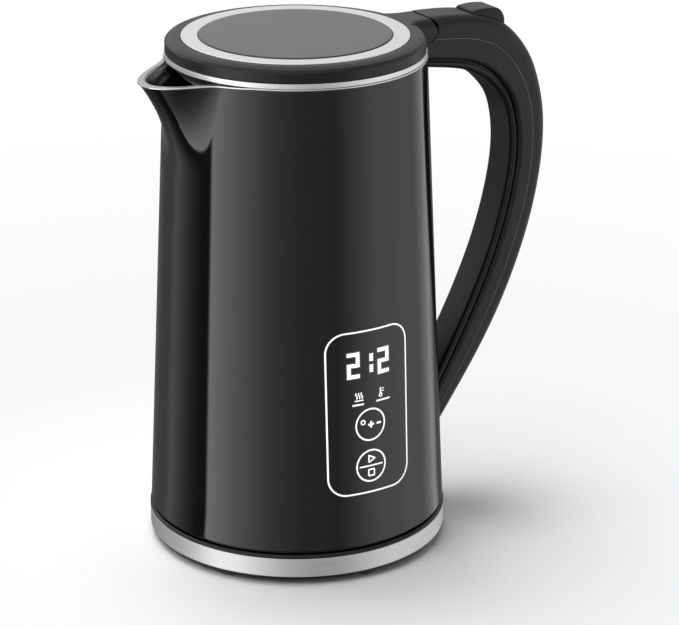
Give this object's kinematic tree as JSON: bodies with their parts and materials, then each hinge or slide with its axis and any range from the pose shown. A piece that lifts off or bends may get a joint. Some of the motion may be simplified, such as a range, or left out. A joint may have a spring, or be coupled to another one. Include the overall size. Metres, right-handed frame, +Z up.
{
  "type": "electric kettle",
  "caption": "Cordless electric jug kettle on a round power base, with a hinged lid, short pouring spout, arched handle and touch panel.",
  "frame": {"origin": "on the table, under the kettle's upright axis, in the middle of the feet", "axes": "+Z up along the kettle's axis, +X to the handle, -X to the spout, -Y to the control panel"},
  "size_m": [0.2146, 0.1439, 0.2464],
  "materials": {
    "shell_plastic": "high gloss moulded polypropylene, black",
    "satin_plastic": "satin moulded polypropylene, black",
    "grip_plastic": "smooth moulded polypropylene, black",
    "stainless": "brushed stainless steel",
    "disc_plastic": "gloss grey moulded disc",
    "panel_lens": "gloss black lens with printed marks",
    "silicone": "moulded silicone rubber",
    "nylon": "moulded glass filled nylon",
    "contact_brass": "bright brass",
    "heater_alloy": "plain aluminium",
    "plain_steel": "plain steel",
    "circuit_board": "epoxy circuit board",
    "component_case": "moulded component case"
  },
  "bodies": {
    "base": {"base_tray": "satin_plastic", "base_feet": "silicone", "base_screws": "plain_steel", "base_cover": "satin_plastic", "base_band": "stainless", "cord_gland": "silicone", "base_socket": "nylon", "socket_contacts": "contact_brass"},
    "coupler": {"connector_housing": "nylon", "connector_pins": "contact_brass"},
    "kettle": {"bottom_cover": "satin_plastic", "bottom_screws": "plain_steel", "liner_cradle": "nylon", "diffuser_plate": "heater_alloy", "heating_element": "heater_alloy", "thermal_cutouts": "nylon", "temperature_probe": "plain_steel", "probe_seal": "silicone", "power_board": "circuit_board", "heater_relay": "component_case", "liner": "stainless", "control_panel": "panel_lens", "outer_shell": "shell_plastic", "control_board": "circuit_board", "board_screws": "plain_steel", "display_module": "component_case", "indicator_lights": "component_case", "touch_pads": "silicone", "handle_back": "satin_plastic", "handle_frame": "satin_plastic", "handle_grip": "grip_plastic", "handle_screws": "plain_steel", "hinge_pin": "plain_steel", "lid_spring": "plain_steel", "button_spring": "plain_steel"},
    "lid": {"lid_cap": "satin_plastic", "lid_ring": "stainless", "lid_disc": "disc_plastic", "lid_pan": "stainless", "lid_seal": "silicone", "lid_screws": "plain_steel"},
    "button": {"release_button": "satin_plastic"},
    "latch": {"latch_slide": "nylon"}
  },
  "joints": [
    {"name": "kettle_lift", "type": "slide", "parent": "base", "child": "coupler", "axis": [0, 0, 1], "range_m": [0, 0.12]},
    {"name": "kettle_swivel", "type": "hinge", "parent": "coupler", "child": "kettle", "pos_m": [0, 0, 0.0166], "axis": [0, 0, 1], "continuous": true},
    {"name": "lid_hinge", "type": "hinge", "parent": "kettle", "child": "lid", "pos_m": [0.065, 0, 0.241], "axis": [0, 1, 0], "range_deg": [0, 65]},
    {"name": "button_press", "type": "slide", "parent": "kettle", "child": "button", "axis": [0, 0, -1], "range_m": [0, 0.003], "stiffness_N_per_m": 500, "springref_m": -0.002, "deforming": ["button_spring"]},
    {"name": "latch_draw", "type": "slide", "parent": "kettle", "child": "latch", "axis": [1, 0, 0], "range_m": [0, 0.003]}
  ],
  "couplings": [
    {"joint": "latch_draw", "follows": "button_press", "ratio": 1}
  ]
}
